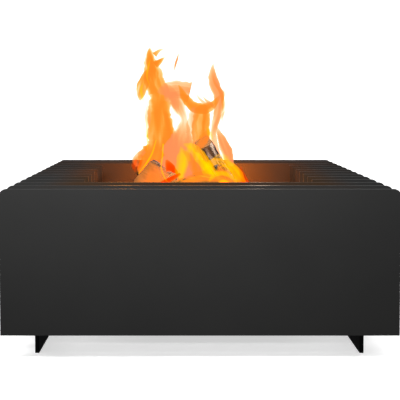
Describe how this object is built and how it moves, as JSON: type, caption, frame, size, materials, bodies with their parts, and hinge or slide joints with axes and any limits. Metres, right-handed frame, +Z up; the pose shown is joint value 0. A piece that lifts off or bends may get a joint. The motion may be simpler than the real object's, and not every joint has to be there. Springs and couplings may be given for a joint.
{
  "type": "fire pit with grate",
  "caption": "Square free-standing fire pit of upright steel fins with a recessed fire opening, lift-out fire tray, ash pan, log grate and stacked firewood.",
  "frame": {"origin": "on the ground, under the middle of the plate stack", "axes": "+Z up; -Y is the front, the side with the front panel; +X to the right when seen from the front"},
  "size_m": [0.914, 0.914, 0.5062],
  "materials": {
    "powder_coat": "matt charcoal powder coat, fine texture",
    "heat_darkened_steel": "uncoated sheet steel, dulled and browned by heat",
    "pan_steel": "uncoated sheet steel with soot and ash",
    "grate_iron": "bare bar, scaled by heat",
    "firewood": "split firewood, charred where it burns",
    "bark_wood": "round firewood in grey ridged bark"
  },
  "bodies": {
    "frame": {"front_panel": "powder_coat", "fin_02": "powder_coat", "fin_03": "powder_coat", "fin_04": "powder_coat", "fin_05": "powder_coat", "fin_06": "powder_coat", "fin_07": "powder_coat", "fin_08": "powder_coat", "fin_09": "powder_coat", "fin_10": "powder_coat", "fin_11": "powder_coat", "fin_12": "powder_coat", "rear_panel": "powder_coat", "foot_runner_left": "powder_coat", "foot_runner_right": "powder_coat", "tie_rod_lower_left": "powder_coat", "tie_rod_upper_left": "powder_coat", "tie_rod_lower_right": "powder_coat", "tie_rod_upper_right": "powder_coat"},
    "fire_tray": {"fire_tray": "heat_darkened_steel"},
    "ash_pan": {"ash_pan": "pan_steel", "pan_handle_left": "pan_steel", "pan_handle_right": "pan_steel"},
    "grate": {"grate_bar_1": "grate_iron", "grate_bar_2": "grate_iron", "grate_bar_3": "grate_iron", "grate_bar_4": "grate_iron", "grate_bar_5": "grate_iron", "grate_bar_6": "grate_iron", "grate_bar_7": "grate_iron", "grate_bar_8": "grate_iron", "grate_bar_9": "grate_iron", "grate_cross_bar_front": "grate_iron", "grate_cross_bar_rear": "grate_iron", "grate_leg_front_left": "grate_iron", "grate_leg_front_right": "grate_iron", "grate_leg_rear_left": "grate_iron", "grate_leg_rear_right": "grate_iron"},
    "firewood": {"billet_left": "firewood", "billet_right": "firewood", "split_log_front": "firewood", "round_log_middle": "firewood", "thin_log_rear": "firewood", "bark_log_leaning": "bark_wood"}
  },
  "joints": [
    {"name": "tray_lift", "type": "slide", "parent": "frame", "child": "fire_tray", "axis": [0, 0, 1], "range_m": [0, 0.25]},
    {"name": "pan_lift", "type": "slide", "parent": "fire_tray", "child": "ash_pan", "axis": [0, 0, 1], "range_m": [0, 0.25]},
    {"name": "grate_lift", "type": "slide", "parent": "ash_pan", "child": "grate", "axis": [0, 0, 1], "range_m": [0, 0.25]},
    {"name": "firewood_lift", "type": "slide", "parent": "grate", "child": "firewood", "axis": [0, 0, 1], "range_m": [0, 0.25]}
  ]
}
